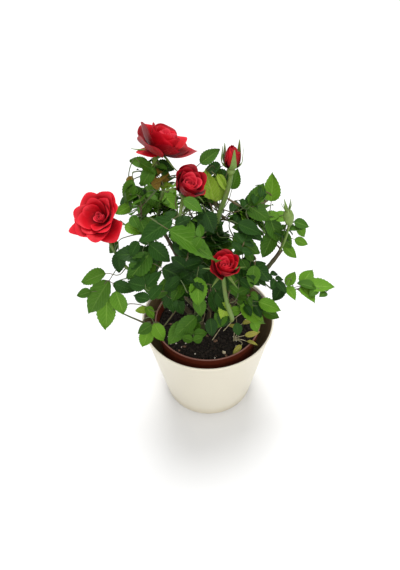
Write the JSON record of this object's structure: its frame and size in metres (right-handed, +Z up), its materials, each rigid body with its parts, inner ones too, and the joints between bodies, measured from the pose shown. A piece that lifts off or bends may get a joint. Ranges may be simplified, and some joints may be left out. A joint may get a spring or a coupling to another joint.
{
  "type": "potted rose bush",
  "caption": "Small red-flowered rose bush in a brown nursery pot, standing in a conical cream cover pot.",
  "frame": {"origin": "middle of the flat underside of the cover pot, which the plant stands on", "axes": "+Z up along the pot's axis, -Y towards the front, the side most blooms face"},
  "size_m": [0.2201, 0.1557, 0.3089],
  "materials": {
    "cream_plastic": "smooth moulded cream plastic, satin",
    "brown_plastic": "thin red-brown thermoformed plastic, slightly glossy rim",
    "potting_soil": "moist near-black peat compost with perlite, bark and grit",
    "cane_bark": "dark green-brown bark, ridged, with buds",
    "green_stalk": "smooth light green young shoots",
    "leaves": "mid to dark green leaflets with toothed edges and sunken veins",
    "red_petals": "velvety deep red petals, brighter pinkish red at the centre",
    "green_hip": "pale green spent bud"
  },
  "bodies": {
    "root": {"bloom_front": "red_petals", "bloom_left": "red_petals", "bloom_middle": "red_petals", "bloom_top": "red_petals", "bud_top": "red_petals", "cane_front": "cane_bark", "cane_front_right": "cane_bark", "cane_left": "cane_bark", "cane_left_back": "cane_bark", "cane_middle": "cane_bark", "cane_right": "cane_bark", "cane_right_back": "cane_bark", "cover_pot": "cream_plastic", "hip_right": "green_hip", "leaves_crown_front": "leaves", "leaves_crown_top": "leaves", "leaves_front_left": "leaves", "leaves_front_right": "leaves", "leaves_heart": "leaves", "leaves_left_back": "leaves", "leaves_left_middle": "leaves", "leaves_left_shoulder": "leaves", "leaves_left_spray": "leaves", "leaves_left_upper": "leaves", "leaves_low_back": "leaves", "leaves_low_front": "leaves", "leaves_low_left": "leaves", "leaves_low_right": "leaves", "leaves_middle_back": "leaves", "leaves_right_back": "leaves", "leaves_right_branch": "leaves", "leaves_right_middle": "leaves", "leaves_right_peak": "leaves", "leaves_right_side": "leaves", "leaves_right_spray": "leaves", "leaves_right_upper": "leaves", "leaves_top_left": "leaves", "nursery_pot": "brown_plastic", "soil": "potting_soil", "stalk_bud": "green_stalk", "stalk_front": "green_stalk", "stalk_hip": "green_stalk", "stalk_left": "green_stalk", "stalk_middle": "green_stalk", "stalk_top": "green_stalk"}
  },
  "joints": []
}
